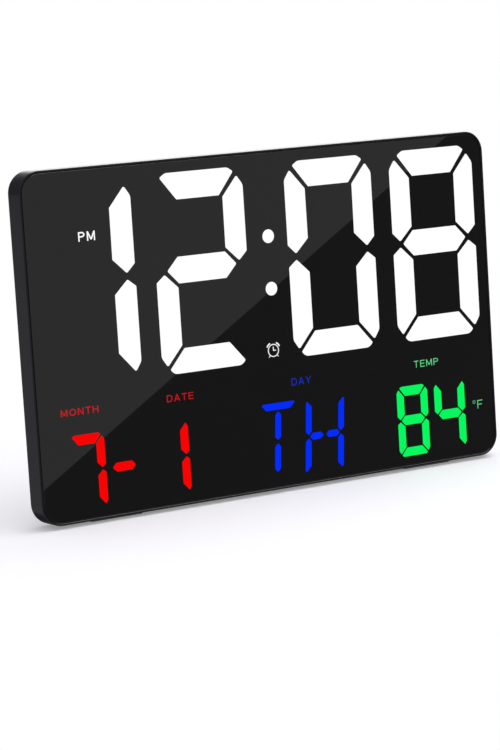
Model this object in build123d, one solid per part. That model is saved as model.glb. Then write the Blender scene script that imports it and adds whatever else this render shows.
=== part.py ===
from build123d import *
import math
import os

# A large digital wall clock that leans back on its fold-out stand.
# Every piece is drawn with the clock upright: x to the right, y to the back from the rim's front
# edge, z up from the bottom of the frame. The last function leans the whole clock back.
# Lengths are in millimetres and angles in degrees.

# Whole clock
WIDTH = 380.0
HEIGHT = 237.5
FRAME_DEPTH = 17.0
CORNER_RADIUS = 15.0
LEAN_ANGLE = 6.7
OVERRUN = 1.0

# Front frame
FRAME_WALL = 1.6
FRAME_FRONT_ROUND = 0.5
FRAME_INNER_ROUND = 0.6
FRAME_REAR_ROUND = 1.2
LEDGE_WIDTH = 5.0
LEDGE_THICK = 1.8
BOSS_RADIUS = 2.4
BOSS_WALL_OVERLAP = 0.3
CASE_BOSS_SIDE_INSET = 40.0
BOARD_POST_SIDE_INSET = 110.0
BOARD_POST_RISE = 50.0

# Front panel and the layers behind it
PANEL_THICK = 2.5
PANEL_SETBACK = 0.3
PANEL_GAP = 0.35
PANEL_EDGE_ROUND = 0.4
FILM_THICK = 0.4
STACK_GAP = 0.3
REFLECTOR_DEPTH = 6.0
REFLECTOR_WALL = 1.2
BOARD_THICK = 1.6
BOARD_EDGE_GAP = 0.6
BOARD_NOTCH_GAP = 0.5

# Time row
TIME_SIDE_MARGIN = 2.9
TIME_TOP_MARGIN = 2.9
TIME_DIGIT_GAP = 14.9
COLON_ROOM = 32.9
COLON_DOT_DIAMETER = 9.5
COLON_DOT_SPACING = 36.6
COLON_SHIFT = 1.3
LEGEND_BAND = 31.8

# Lower row: month and date, weekday letters, temperature
LOWER_BOTTOM_MARGIN = 1.8
LOWER_DIGIT_WIDTH = 27.6
LOWER_DIGIT_HEIGHT = 50.8
LOWER_DIGIT_GAP = 5.6
DASH_WIDTH = 18.0
DASH_STROKE = 6.0
DASH_ROUND = 0.8
LETTER_WIDTH = 27.6
LETTER_HEIGHT = 54.6
LETTER_STROKE = 4.8
LETTER_PITCH = 39.6
LETTER_WAIST_GAP = 2.2
LETTER_TIP_DROP = 2.5
LETTER_STEM_DROP = 6.0
LETTER_SLANT = 4.3
LETTER_ROUND = 0.7
LETTER_LEAN_SHARE = 0.6
MONTH_PLACE_SHARE = -0.4026
DASH_PLACE_SHARE = -0.3294
DATE_PLACE_SHARE = -0.2294
DAY_PLACE_SHARE = 0.0492
TEMPERATURE_PLACE_SHARE = 0.3480

# Outlines of the seven segments of a digit, in shares of its half width and half height.
# Only the right-hand half is listed: bars are mirrored to close, left posts are mirrored whole.
TOP_BAR_SHARES = [(0.455, 0.730), (0.790, 0.956), (0.668, 1.000)]
UPPER_POST_SHARES = [
    (0.857, 0.914),
    (0.985, 0.816),
    (0.985, 0.150),
    (0.810, 0.059),
    (0.528, 0.204),
    (0.532, 0.713),
]
MIDDLE_BAR_SHARES = [(0.510, -0.103), (0.745, 0.030), (0.510, 0.163)]
LOWER_POST_SHARES = [
    (0.810, -0.003),
    (0.985, -0.077),
    (0.985, -0.823),
    (0.863, -0.919),
    (0.533, -0.720),
    (0.533, -0.143),
]
BOTTOM_BAR_SHARES = [(0.729, -1.000), (0.814, -0.952), (0.488, -0.751)]

# Roundings of a digit in shares of its width: its outer shoulders, and the tips of its segments
SHOULDER_ROUND_SHARE = 0.080
TIP_ROUND_SHARE = 0.015
SHOULDER_SIDE_SHARE = 0.980
SHOULDER_END_SHARE = 0.800

SHOWN_SEGMENTS = {
    "0": ("top", "upper_right", "lower_right", "bottom", "lower_left", "upper_left"),
    "1": ("upper_right", "lower_right"),
    "2": ("top", "upper_right", "middle", "lower_left", "bottom"),
    "4": ("upper_left", "upper_right", "middle", "lower_right"),
    "7": ("top", "upper_right", "lower_right"),
    "8": ("top", "upper_right", "lower_right", "bottom", "lower_left", "upper_left", "middle"),
}
SHOWN_STROKES = {
    "T": ("top", "upper_stem", "lower_stem"),
    "H": ("upper_left", "lower_left", "upper_right", "lower_right", "left_dash", "right_dash"),
}

# Light-emitting diodes
LED_LENGTH = 3.5
LED_WIDTH = 2.8
LED_HEIGHT = 1.9
LED_PITCH = 20.0

# Rear cover and its raised housing
COVER_FLANGE = 2.0
COVER_GAP = 0.2
HOUSING_DEPTH = 13.0
HOUSING_WALL = 2.0
HOUSING_SIDE_INSET = 30.0
HOUSING_TOP_INSET = 26.0
HOUSING_BOTTOM_INSET = 10.0
HOUSING_CORNER = 12.0
HOUSING_EDGE_ROUND = 3.0
VENT_LENGTH = 34.0
VENT_WIDTH = 2.4
VENT_PITCH = 5.0
VENT_COUNT = 6
VENT_PLACE_SHARES = (0.62, 0.55)
SOUND_HOLE_RADIUS = 0.9
SOUND_RING_RADIUS = 4.0
SOUND_HOLE_COUNT = 6
HANGER_ENTRY_RADIUS = 4.5
HANGER_SLOT_WIDTH = 4.6
HANGER_SLOT_RISE = 9.0
HANGER_SIDE_INSET = 45.0
HANGER_TOP_INSET = 26.0

# Screws
SCREW_RADIUS = 1.0
SCREW_PLAY = 0.15
SCREW_LENGTH = 7.0
SHORT_SCREW_LENGTH = 4.0
SCREW_HEAD_RADIUS = 1.9
SCREW_HEAD_THICK = 1.1
SCREW_SINK_PLAY = 0.3
SCREW_CROSS_LENGTH = 2.2
SCREW_CROSS_WIDTH = 0.5
SCREW_CROSS_DEPTH = 0.5

# Fold-out stand and the feet of the frame
STAND_WIDTH = 60.0
STAND_THICK = 4.0
STAND_HINGE_HEIGHT = 78.0
STAND_AXIS_DEPTH = 2.8
STAND_OPEN_ANGLE = 15.0
STAND_SIDE_GAP = 0.5
STAND_STOP_GAP = 0.3
STAND_BARREL_RADIUS = 2.6
STAND_TIP_COVER = 0.8
STAND_TIP_SLEEVE = 6.0
STAND_BORDER = 6.0
STAND_POCKET_DEPTH = 1.4
STAND_RIB = 3.0
CHANNEL_DEPTH = 7.0
CHANNEL_TOP_GAP = 1.2
PIVOT_RADIUS = 1.5
PIVOT_PLAY = 0.05
PIVOT_GRIP = 10.0
PIVOT_SEAT = 6.0
PIVOT_BLOCK = 8.0
FOOT_LENGTH = 40.0
FOOT_SIDE_INSET = 60.0
FOOT_SETBACK = 7.0
FOOT_WIDTH = 7.0
FOOT_THICK = 1.0

# Push buttons, their switches and board
BUTTON_NAMES = ("mode_button", "set_button", "up_button", "down_button", "alarm_button")
BUTTON_RADIUS = 4.5
BUTTON_GAP = 0.3
BUTTON_SINK = 0.2
BUTTON_TRAVEL = 1.0
BUTTON_EDGE_ROUND = 0.5
BUTTON_FLANGE_RADIUS = 5.6
BUTTON_FLANGE_THICK = 1.2
BUTTON_STEM_RADIUS = 1.5
BUTTON_STEM_LENGTH = 2.4
BUTTON_STEM_ENTRY = 0.6
BUTTON_PITCH = 20.0
BUTTON_DROP = 42.0
SWITCH_SIDE = 6.0
SWITCH_HEIGHT = 3.5
SWITCH_BORE_RADIUS = 2.0
SWITCH_BORE_DEPTH = 2.2
BUTTON_BOARD_THICK = 1.2
BUTTON_BOARD_HEIGHT = 16.0
BUTTON_BOARD_END = 16.0
BUTTON_POST_RADIUS = 3.0
BUTTON_POST_INSET = 4.0
HEADER_LENGTH = 12.7
HEADER_WIDTH = 2.5

# Backup cell, its pocket, contacts and door
CELL_DIAMETER = 20.0
CELL_THICK = 3.2
CELL_RIM_STEP = 0.6
CELL_SIDE_ROOM = 1.5
CELL_DOOR_ROOM = 0.5
CONTACT_RISE = 0.8
CONTACT_LENGTH = 12.0
CONTACT_WIDTH = 4.0
CONTACT_THICK = 0.5
CONTACT_LEG_WIDTH = 2.0
CONTACT_SLOT_GAP = 0.1
POCKET_PLACE_SHARES = (0.58, 0.30)
DOOR_THICK = 2.4
DOOR_GAP = 0.3
DOOR_SIDE_LEDGE = 2.5
DOOR_BOTTOM_LEDGE = 3.0
DOOR_TOP_LEDGE = 8.0
DOOR_PIN_RADIUS = 0.7
DOOR_PIN_PLAY = 0.05
DOOR_PIN_LENGTH = 1.5
DOOR_PIN_ROOM = 0.4
DOOR_SCREW_LENGTH = 4.3
DOOR_SCREW_ROOM = 0.7
DOOR_SCREW_INSET = 4.0
DOOR_GRIP_WIDTH = 1.2
DOOR_GRIP_DEPTH = 0.6
DOOR_GRIP_LENGTH = 12.0
DOOR_GRIP_PITCH = 2.6
DOOR_GRIP_COUNT = 4

# Parts on the display board
JACK_LENGTH = 14.0
JACK_WIDTH = 9.0
JACK_TOP_GAP = 0.3
JACK_NOSE_RADIUS = 3.7
JACK_NOSE_GAP = 0.3
JACK_NOSE_SINK = 0.4
JACK_BORE_RADIUS = 2.95
JACK_BORE_DEPTH = 9.5
JACK_PIN_RADIUS = 1.05
JACK_PIN_SINK = 1.0
JACK_PIN_ROUND = 0.4
JACK_HEIGHT_SHARE = 0.18
CAPACITOR_RADIUS = 4.0
CAPACITOR_HEIGHT = 11.0
CAPACITOR_GAP = 6.0
CAPACITOR_CAP_ROUND = 0.6
MICROCONTROLLER_SIDE = 14.0
MICROCONTROLLER_THICK = 1.6
MICROCONTROLLER_PLACE_SHARES = (0.35, 0.52)
DRIVER_LENGTH = 10.0
DRIVER_WIDTH = 6.0
DRIVER_THICK = 1.6
DRIVER_ROW_SHARE = 0.66
DRIVER_PLACE_SHARES = (-0.80, -0.52, -0.24, 0.70)
CRYSTAL_RADIUS = 1.5
CRYSTAL_LENGTH = 8.0
CRYSTAL_GAP = 4.0
BUZZER_RADIUS = 6.0
BUZZER_HEIGHT = 8.5
BUZZER_HOLE_RADIUS = 1.2
BUZZER_HOLE_DEPTH = 1.5
BUZZER_PLACE_SHARES = (-0.56, 0.30)
PROBE_RADIUS = 1.4
PROBE_LEG_LENGTH = 6.0
PROBE_LEG_RADIUS = 0.3
PROBE_LEG_SPACING = 1.4
PROBE_PLACE_SHARES = (-0.62, 0.55)
RECEIVER_WIDTH = 6.0
RECEIVER_HEIGHT = 7.0
RECEIVER_THICK = 2.6
RECEIVER_DOME_RADIUS = 2.2
RECEIVER_ROOM = 1.0
RECEIVER_PLACE_SHARE = -0.115

# Depths that follow from the sizes above
PANEL_BACK = PANEL_SETBACK + PANEL_THICK
LEDGE_BACK = PANEL_BACK + LEDGE_THICK
FILM_BACK = PANEL_BACK + FILM_THICK
REFLECTOR_BACK = FILM_BACK + REFLECTOR_DEPTH
BOARD_BACK = REFLECTOR_BACK + BOARD_THICK
COVER_FRONT = FRAME_DEPTH - COVER_FLANGE
HOUSING_BACK = FRAME_DEPTH + HOUSING_DEPTH
HOUSING_INSIDE = HOUSING_BACK - HOUSING_WALL
CHANNEL_FLOOR = HOUSING_BACK - CHANNEL_DEPTH

# Widths and heights that follow
INNER_WIDTH = WIDTH - 2 * FRAME_WALL
INNER_HEIGHT = HEIGHT - 2 * FRAME_WALL
INNER_RADIUS = CORNER_RADIUS - FRAME_WALL
HOUSING_HALF = WIDTH / 2 - HOUSING_SIDE_INSET
HOUSING_LOW = HOUSING_BOTTOM_INSET
HOUSING_HIGH = HEIGHT - HOUSING_TOP_INSET
HOUSING_TALL = HOUSING_HIGH - HOUSING_LOW
DISPLAY_HALF = WIDTH / 2 - FRAME_WALL - LEDGE_WIDTH - TIME_SIDE_MARGIN
DISPLAY_TOP = HEIGHT - FRAME_WALL - LEDGE_WIDTH - TIME_TOP_MARGIN
DISPLAY_BOTTOM = FRAME_WALL + LEDGE_WIDTH + LOWER_BOTTOM_MARGIN
LOWER_ROW = DISPLAY_BOTTOM + LOWER_DIGIT_HEIGHT / 2
TIME_DIGIT_WIDTH = (2 * DISPLAY_HALF - 2 * TIME_DIGIT_GAP - COLON_ROOM) / 4
TIME_DIGIT_HEIGHT = DISPLAY_TOP - DISPLAY_BOTTOM - LOWER_DIGIT_HEIGHT - LEGEND_BAND
TIME_ROW = DISPLAY_TOP - TIME_DIGIT_HEIGHT / 2

# Hinge of the stand: the leg is as long as it takes to reach the floor that the feet stand on
STAND_AXIS = HOUSING_BACK - STAND_AXIS_DEPTH
STAND_TIP_RADIUS = STAND_THICK / 2 + STAND_TIP_COVER
FOOT_HEEL = FOOT_SETBACK + FOOT_WIDTH
LEAN = math.radians(LEAN_ANGLE)
OPEN = math.radians(STAND_OPEN_ANGLE)
STAND_DROP = (STAND_HINGE_HEIGHT + FOOT_THICK) * math.cos(LEAN) - (STAND_AXIS - FOOT_HEEL) * math.sin(LEAN)
STAND_LENGTH = (STAND_DROP - STAND_TIP_RADIUS) / math.cos(OPEN - LEAN)
STAND_HEEL_REACH = STAND_AXIS - CHANNEL_FLOOR - STAND_STOP_GAP - STAND_THICK / 2 * math.cos(OPEN)
STAND_HEEL = STAND_HEEL_REACH / math.sin(OPEN)
CHANNEL_TOP = STAND_HINGE_HEIGHT + STAND_HEEL + CHANNEL_TOP_GAP
CHANNEL_HALF = STAND_WIDTH / 2 + STAND_SIDE_GAP

# Buttons and their board, from the housing's rear wall inwards
BUTTON_ROW = HOUSING_HIGH - BUTTON_DROP
BUTTON_FLANGE_BACK = HOUSING_INSIDE - BUTTON_GAP
BUTTON_FLANGE_FRONT = BUTTON_FLANGE_BACK - BUTTON_FLANGE_THICK
BUTTON_STEM_FRONT = BUTTON_FLANGE_FRONT - BUTTON_STEM_LENGTH
SWITCH_BACK = BUTTON_STEM_FRONT + BUTTON_STEM_ENTRY
BUTTON_BOARD_BACK = SWITCH_BACK - SWITCH_HEIGHT
BUTTON_BOARD_FRONT = BUTTON_BOARD_BACK - BUTTON_BOARD_THICK
BUTTON_PLACES = [(index - (len(BUTTON_NAMES) - 1) / 2) * BUTTON_PITCH for index in range(len(BUTTON_NAMES))]
BUTTON_BOARD_HALF = BUTTON_PLACES[-1] + BUTTON_BOARD_END
BUTTON_POSTS = [side * (BUTTON_BOARD_HALF - BUTTON_POST_INSET) for side in (-1, 1)]

# Cell pocket and door
DOOR_FRONT = HOUSING_BACK - DOOR_THICK
DOOR_AXIS = HOUSING_BACK - DOOR_THICK / 2
CELL_BACK = DOOR_FRONT - CELL_DOOR_ROOM
CELL_FRONT = CELL_BACK - CELL_THICK
POCKET_FLOOR = CELL_FRONT - CONTACT_RISE
POCKET_SIDE = CELL_DIAMETER + 2 * CELL_SIDE_ROOM
POCKET_X = POCKET_PLACE_SHARES[0] * HOUSING_HALF
POCKET_Z = HOUSING_LOW + POCKET_PLACE_SHARES[1] * HOUSING_TALL
DOOR_WIDTH = POCKET_SIDE + 2 * DOOR_SIDE_LEDGE
DOOR_LOW = POCKET_Z - POCKET_SIDE / 2 - DOOR_BOTTOM_LEDGE
DOOR_HIGH = POCKET_Z + POCKET_SIDE / 2 + DOOR_TOP_LEDGE
DOOR_HINGE_Z = DOOR_LOW + DOOR_THICK / 2
DOOR_SCREW_Z = DOOR_HIGH - DOOR_SCREW_INSET

# Power inlet on the right-hand wall of the housing
JACK_BACK = HOUSING_INSIDE - JACK_TOP_GAP
JACK_AXIS = JACK_BACK - JACK_WIDTH / 2
JACK_Z = HOUSING_LOW + JACK_HEIGHT_SHARE * HOUSING_TALL
JACK_MOUTH = HOUSING_HALF - HOUSING_WALL
JACK_NOSE_END = HOUSING_HALF - JACK_NOSE_SINK

# Screw places along the frame's border
BORDER_X = INNER_WIDTH / 2 - BOSS_RADIUS + BOSS_WALL_OVERLAP
BORDER_Z = INNER_HEIGHT / 2 - BOSS_RADIUS + BOSS_WALL_OVERLAP
MIDDLE_Z = HEIGHT / 2
CASE_BOSS_X = WIDTH / 2 - CASE_BOSS_SIDE_INSET
BOARD_POST_X = WIDTH / 2 - BOARD_POST_SIDE_INSET
CASE_BOSSES = [(x, MIDDLE_Z + side * BORDER_Z) for x in (-CASE_BOSS_X, 0, CASE_BOSS_X) for side in (-1, 1)]
CASE_BOSSES += [(side * BORDER_X, MIDDLE_Z) for side in (-1, 1)]
BOARD_POSTS = [(x, MIDDLE_Z + side * BORDER_Z) for x in (-BOARD_POST_X, BOARD_POST_X) for side in (-1, 1)]
BOARD_POSTS += [(side * BORDER_X, MIDDLE_Z + rise) for side in (-1, 1) for rise in (-BOARD_POST_RISE, BOARD_POST_RISE)]


# Basic shapes
def slab(outline, front, back):
    """An outline drawn in x and z, made solid between two depths."""
    plane = Plane(origin=(0, back, 0), x_dir=(1, 0, 0), z_dir=(0, -1, 0))
    return extrude(plane * outline, amount=back - front, dir=(0, -1, 0))


def crossbar(profile, left, right):
    """A profile drawn in y and z, made solid between two places along x."""
    plane = Plane(origin=(left, 0, 0), x_dir=(0, 1, 0), z_dir=(1, 0, 0))
    return extrude(plane * profile, amount=right - left, dir=(1, 0, 0))


def rod(radius, x, z, front, back):
    return slab(Pos(x, z) * Circle(radius), front, back)


def block(x_low, x_high, front, back, z_low, z_high):
    outline = Pos((x_low + x_high) / 2, (z_low + z_high) / 2) * Rectangle(x_high - x_low, z_high - z_low)
    return slab(outline, front, back)


def inner_outline(inset):
    """The frame's inner outline, drawn in by an inset."""
    outline = RectangleRounded(INNER_WIDTH - 2 * inset, INNER_HEIGHT - 2 * inset, INNER_RADIUS - inset)
    return Pos(0, MIDDLE_Z) * outline


def housing_outline(inset):
    """The raised housing's outline, drawn in by an inset."""
    wide = 2 * (HOUSING_HALF - inset)
    outline = RectangleRounded(wide, HOUSING_TALL - 2 * inset, HOUSING_CORNER - inset)
    return Pos(0, (HOUSING_LOW + HOUSING_HIGH) / 2) * outline


def housing_place(shares):
    """A place on the housing from shares of its half width and of its height."""
    return shares[0] * HOUSING_HALF, HOUSING_LOW + shares[1] * HOUSING_TALL


# Display outlines
def mirrored(points):
    return [(-x, z) for x, z in reversed(points)]


def seven_segments(x, z, width, height):
    """The outlines of one digit's segments, by name."""
    shapes = {
        "top": TOP_BAR_SHARES + mirrored(TOP_BAR_SHARES),
        "middle": MIDDLE_BAR_SHARES + mirrored(MIDDLE_BAR_SHARES),
        "bottom": BOTTOM_BAR_SHARES + mirrored(BOTTOM_BAR_SHARES),
        "upper_right": UPPER_POST_SHARES,
        "lower_right": LOWER_POST_SHARES,
        "upper_left": mirrored(UPPER_POST_SHARES),
        "lower_left": mirrored(LOWER_POST_SHARES),
    }

    def on_shoulder(corner):
        side, end = abs(corner.X - x) / (width / 2), abs(corner.Y - z) / (height / 2)
        return (side > SHOULDER_SIDE_SHARE and end > SHOULDER_END_SHARE) or end > SHOULDER_SIDE_SHARE

    outlines = {}
    for name, shares in shapes.items():
        outline = Polygon(*[(x + u * width / 2, z + v * height / 2) for u, v in shares])
        tips = [corner for corner in outline.vertices() if not on_shoulder(corner)]
        outline = fillet(tips, TIP_ROUND_SHARE * width)
        shoulders = [corner for corner in outline.vertices() if on_shoulder(corner)]
        outlines[name] = fillet(shoulders, SHOULDER_ROUND_SHARE * width) if shoulders else outline
    return outlines


def rounded(outline, radius):
    return fillet(outline.vertices(), radius)


def pointed_bar(length, stroke, first_lean=0, last_lean=0):
    """Corner points of a level bar with pointed ends. A lean moves an end's point off the middle line."""
    edge = stroke / 2
    first, last = -length / 2, length / 2
    return [
        (last, last_lean * edge),
        (last - (1 - last_lean) * edge, edge),
        (first + (1 - first_lean) * edge, edge),
        (first, first_lean * edge),
        (first + (1 + first_lean) * edge, -edge),
        (last - (1 + last_lean) * edge, -edge),
    ]


def level_stroke(x, z, length, lean=0):
    return [(x + u, z + v) for u, v in pointed_bar(length, LETTER_STROKE, lean, lean)]


def upright_stroke(x, low, high, low_lean=0, high_lean=0):
    corners = pointed_bar(high - low, LETTER_STROKE, low_lean, high_lean)
    return [(x + v, (low + high) / 2 + u) for u, v in corners]


def letter_strokes(x):
    """The outlines of one weekday letter's strokes, by name, leaning to the right."""
    half = LETTER_WIDTH / 2
    bar_rise = (LETTER_HEIGHT - LETTER_STROKE) / 2
    waist = LETTER_WAIST_GAP / 2
    tip = LETTER_HEIGHT / 2 - LETTER_TIP_DROP
    stem = LETTER_HEIGHT / 2 - LETTER_STEM_DROP
    dash = half - waist
    lean = LETTER_LEAN_SHARE
    shapes = {
        "top": level_stroke(0, bar_rise, LETTER_WIDTH, lean),
        "bottom": level_stroke(0, -bar_rise, LETTER_WIDTH, -lean),
        "left_dash": level_stroke(-(waist + dash) / 2, 0, dash - waist),
        "right_dash": level_stroke((waist + dash) / 2, 0, dash - waist),
        "upper_left": upright_stroke(-half, waist, tip, 0, -lean),
        "lower_left": upright_stroke(-half, -tip, -waist, -lean, 0),
        "upper_right": upright_stroke(half, waist, tip, 0, lean),
        "lower_right": upright_stroke(half, -tip, -waist, lean, 0),
        "upper_stem": upright_stroke(0, waist, stem),
        "lower_stem": upright_stroke(0, -stem, -waist),
    }
    slant = math.tan(math.radians(LETTER_SLANT))
    outlines = {}
    for name, corners in shapes.items():
        points = [(x + u + v * slant, LOWER_ROW + v) for u, v in corners]
        outlines[name] = rounded(Polygon(*points), LETTER_ROUND)
    return outlines


def display_windows():
    """Every light window as (node, colour, outline). Dark ones share one node."""
    windows = []

    def add(node, colour, outlines, shown):
        for name, outline in outlines.items():
            windows.append((node if name in shown else "unlit_segments", colour, outline))

    pair = COLON_ROOM / 2 + TIME_DIGIT_WIDTH + TIME_DIGIT_GAP / 2
    step = (TIME_DIGIT_WIDTH + TIME_DIGIT_GAP) / 2
    time_digits = (
        ("hour_segments", "1", -pair - step),
        ("hour_segments", "2", -pair + step),
        ("minute_segments", "0", pair - step),
        ("minute_segments", "8", pair + step),
    )
    for node, shown, x in time_digits:
        outlines = seven_segments(x, TIME_ROW, TIME_DIGIT_WIDTH, TIME_DIGIT_HEIGHT)
        add(node, "white", outlines, SHOWN_SEGMENTS[shown])
    for side in (-1, 1):
        dot = Pos(COLON_SHIFT, TIME_ROW + side * COLON_DOT_SPACING / 2) * Circle(COLON_DOT_DIAMETER / 2)
        windows.append(("colon_dots", "white", dot))

    temperature_step = (LOWER_DIGIT_WIDTH + LOWER_DIGIT_GAP) / 2
    lower_digits = (
        ("date_segments", "red", "7", MONTH_PLACE_SHARE * WIDTH),
        ("date_segments", "red", "1", DATE_PLACE_SHARE * WIDTH),
        ("temperature_segments", "green", "8", TEMPERATURE_PLACE_SHARE * WIDTH - temperature_step),
        ("temperature_segments", "green", "4", TEMPERATURE_PLACE_SHARE * WIDTH + temperature_step),
    )
    for node, colour, shown, x in lower_digits:
        outlines = seven_segments(x, LOWER_ROW, LOWER_DIGIT_WIDTH, LOWER_DIGIT_HEIGHT)
        add(node, colour, outlines, SHOWN_SEGMENTS[shown])
    dash = [(DASH_PLACE_SHARE * WIDTH + u, LOWER_ROW + v) for u, v in pointed_bar(DASH_WIDTH, DASH_STROKE)]
    windows.append(("date_segments", "red", rounded(Polygon(*dash), DASH_ROUND)))

    for letter, side in (("T", -1), ("H", 1)):
        outlines = letter_strokes(DAY_PLACE_SHARE * WIDTH + side * LETTER_PITCH / 2)
        add("day_segments", "blue", outlines, SHOWN_STROKES[letter])
    return windows


# Screws
def screw(x, z, seat, length, way=-1):
    """A cross-head screw whose head sits on a seat and whose shank points along way in y."""
    head_end = seat - way * SCREW_HEAD_THICK
    shank_end = seat + way * length
    head = rod(SCREW_HEAD_RADIUS, x, z, min(seat, head_end), max(seat, head_end))
    shank = rod(SCREW_RADIUS, x, z, min(seat, shank_end), max(seat, shank_end))
    cross = Rectangle(SCREW_CROSS_LENGTH, SCREW_CROSS_WIDTH) + Rectangle(SCREW_CROSS_WIDTH, SCREW_CROSS_LENGTH)
    cross_end = head_end + way * SCREW_CROSS_DEPTH
    return head + shank - slab(Pos(x, z) * cross, min(head_end, cross_end), max(head_end, cross_end))


# Frame, panel and display layers
def make_front_frame():
    outline = Pos(0, MIDDLE_Z) * RectangleRounded(WIDTH, HEIGHT, CORNER_RADIUS)
    frame = slab(outline, 0, FRAME_DEPTH)
    frame = fillet(frame.faces().sort_by(Axis.Y)[-1].edges(), FRAME_REAR_ROUND)
    frame = fillet(frame.faces().sort_by(Axis.Y)[0].edges(), FRAME_FRONT_ROUND)
    frame -= slab(inner_outline(0), -OVERRUN, PANEL_BACK)
    frame = fillet(frame.faces().sort_by(Axis.Y)[0].inner_wires().edges(), FRAME_INNER_ROUND)
    frame -= slab(inner_outline(LEDGE_WIDTH), 0, FRAME_DEPTH)
    frame -= slab(inner_outline(0), LEDGE_BACK, FRAME_DEPTH + OVERRUN)
    inside = slab(inner_outline(-FRAME_WALL / 2), LEDGE_BACK, FRAME_DEPTH)
    for x, z in CASE_BOSSES:
        frame += rod(BOSS_RADIUS, x, z, LEDGE_BACK, COVER_FRONT) & inside
    for x, z in BOARD_POSTS:
        frame += rod(BOSS_RADIUS, x, z, LEDGE_BACK, REFLECTOR_BACK) & inside
    case_hole = COVER_FRONT + COVER_FLANGE - SCREW_HEAD_THICK - SCREW_LENGTH
    holes = [rod(SCREW_RADIUS, x, z, case_hole, COVER_FRONT) for x, z in CASE_BOSSES]
    holes += [rod(SCREW_RADIUS, x, z, BOARD_BACK - SHORT_SCREW_LENGTH, REFLECTOR_BACK) for x, z in BOARD_POSTS]
    return frame - holes


def make_front_panel(windows):
    panel = slab(inner_outline(PANEL_GAP), PANEL_SETBACK, PANEL_BACK)
    panel = fillet(panel.faces().sort_by(Axis.Y)[0].edges(), PANEL_EDGE_ROUND)
    cuts = [slab(outline, PANEL_SETBACK - OVERRUN, PANEL_BACK + OVERRUN) for _, _, outline in windows]
    return panel - cuts


def make_lenses(windows):
    """The window fillings, flush with the panel, by node."""
    lenses = {}
    for node, _, outline in windows:
        lenses.setdefault(node, []).append(slab(outline, PANEL_SETBACK, PANEL_BACK))
    return lenses


def make_diffuser_film():
    return slab(inner_outline(LEDGE_WIDTH + STACK_GAP), PANEL_BACK, FILM_BACK)


def make_reflector(windows):
    """A thin plate with a walled light cell around every window."""
    outline = inner_outline(LEDGE_WIDTH + STACK_GAP)
    plate_back = FILM_BACK + REFLECTOR_WALL
    receiver = Rectangle(RECEIVER_WIDTH + 2 * RECEIVER_ROOM, RECEIVER_HEIGHT + 2 * RECEIVER_ROOM)
    cells = [shape for _, _, shape in windows]
    cells.append(Pos(RECEIVER_PLACE_SHARE * WIDTH, LOWER_ROW) * receiver)
    rim = outline - inner_outline(LEDGE_WIDTH + STACK_GAP + REFLECTOR_WALL)
    walls = [slab(rim, plate_back, REFLECTOR_BACK)]
    for cell in cells:
        grown = offset(cell, amount=REFLECTOR_WALL, kind=Kind.INTERSECTION)
        walls.append(slab(grown, plate_back, REFLECTOR_BACK))
    reflector = slab(outline, FILM_BACK, plate_back) + walls
    reflector &= slab(outline, FILM_BACK, REFLECTOR_BACK)
    return reflector - [slab(cell, FILM_BACK - OVERRUN, REFLECTOR_BACK + OVERRUN) for cell in cells]


def make_display_board():
    outline = inner_outline(BOARD_EDGE_GAP)
    for x, z in CASE_BOSSES:
        outline -= Pos(x, z) * Circle(BOSS_RADIUS + BOARD_NOTCH_GAP)
    for x, z in BOARD_POSTS:
        outline -= Pos(x, z) * Circle(SCREW_RADIUS + SCREW_PLAY)
    return slab(outline, REFLECTOR_BACK, BOARD_BACK)


def make_leds(windows):
    """The diodes of each colour, spread along the longer side of every light cell."""
    leds = {}
    for _, colour, outline in windows:
        box = outline.bounding_box()
        upright = box.size.Y > box.size.X
        length = max(box.size.X, box.size.Y)
        count = max(1, round(length / LED_PITCH))
        chip = Rectangle(LED_WIDTH, LED_LENGTH) if upright else Rectangle(LED_LENGTH, LED_WIDTH)
        for index in range(count):
            along = ((index + 0.5) / count - 0.5) * length
            middle = box.center()
            slant = (box.size.X - LETTER_STROKE) / box.size.Y if colour == "blue" and upright else 0
            x = middle.X + (along * slant if upright else along)
            z = middle.Y + (along if upright else 0)
            diode = slab(Pos(x, z) * chip, REFLECTOR_BACK - LED_HEIGHT, REFLECTOR_BACK)
            leds.setdefault(colour + "_leds", []).append(diode)
    return leds


# Parts on the display board
def make_infrared_receiver():
    x = RECEIVER_PLACE_SHARE * WIDTH
    low, high = LOWER_ROW - RECEIVER_HEIGHT / 2, LOWER_ROW + RECEIVER_HEIGHT / 2
    front = REFLECTOR_BACK - RECEIVER_THICK
    body = block(x - RECEIVER_WIDTH / 2, x + RECEIVER_WIDTH / 2, front, REFLECTOR_BACK, low, high)
    dome = Pos(x, front, LOWER_ROW) * Sphere(RECEIVER_DOME_RADIUS)
    return body + dome


def make_microcontroller():
    x, z = housing_place(MICROCONTROLLER_PLACE_SHARES)
    half = MICROCONTROLLER_SIDE / 2
    return block(x - half, x + half, BOARD_BACK, BOARD_BACK + MICROCONTROLLER_THICK, z - half, z + half)


def make_driver_chips():
    chips = []
    for share in DRIVER_PLACE_SHARES:
        x, z = housing_place((share, DRIVER_ROW_SHARE))
        outline = Pos(x, z) * Rectangle(DRIVER_LENGTH, DRIVER_WIDTH)
        chips.append(slab(outline, BOARD_BACK, BOARD_BACK + DRIVER_THICK))
    return chips


def make_crystal():
    x, z = housing_place(MICROCONTROLLER_PLACE_SHARES)
    height = z + MICROCONTROLLER_SIDE / 2 + CRYSTAL_GAP
    profile = Pos(BOARD_BACK + CRYSTAL_RADIUS, height) * Circle(CRYSTAL_RADIUS)
    return crossbar(profile, x - CRYSTAL_LENGTH / 2, x + CRYSTAL_LENGTH / 2)


def make_buzzer():
    x, z = housing_place(BUZZER_PLACE_SHARES)
    back = BOARD_BACK + BUZZER_HEIGHT
    return rod(BUZZER_RADIUS, x, z, BOARD_BACK, back) - rod(
        BUZZER_HOLE_RADIUS, x, z, back - BUZZER_HOLE_DEPTH, back + OVERRUN
    )


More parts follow.
